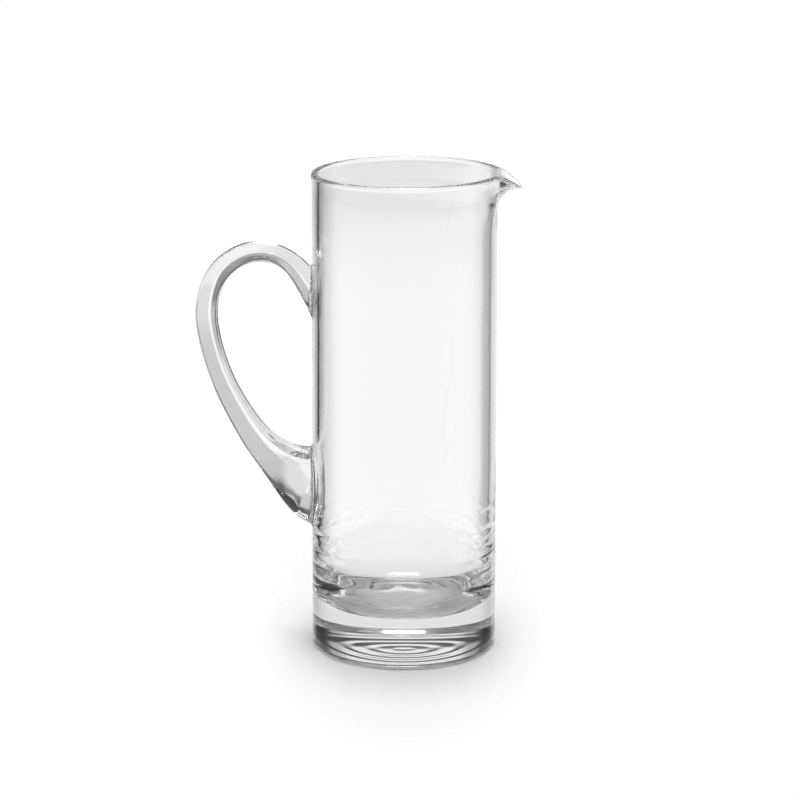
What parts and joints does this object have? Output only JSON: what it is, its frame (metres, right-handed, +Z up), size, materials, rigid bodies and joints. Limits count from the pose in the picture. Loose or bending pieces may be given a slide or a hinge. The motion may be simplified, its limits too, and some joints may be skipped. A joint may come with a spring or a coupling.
{
  "type": "glass carafe",
  "caption": "Tall straight-sided clear glass carafe with a thick solid base, a pulled pouring lip and a solid looped glass handle opposite it.",
  "frame": {"origin": "centre of the flat underside, on the body's axis, where the carafe stands", "axes": "+Z up along the body's axis; +X from the handle towards the pouring lip; the handle stands out along -X"},
  "size_m": [0.1727, 0.1, 0.2606],
  "materials": {
    "body_glass": "clear colourless blown glass, fire-polished rim",
    "handle_glass": "clear colourless solid glass, drawn and fused on while hot"
  },
  "bodies": {
    "root": {"glass_body": "body_glass", "applied_handle": "handle_glass"}
  },
  "joints": []
}
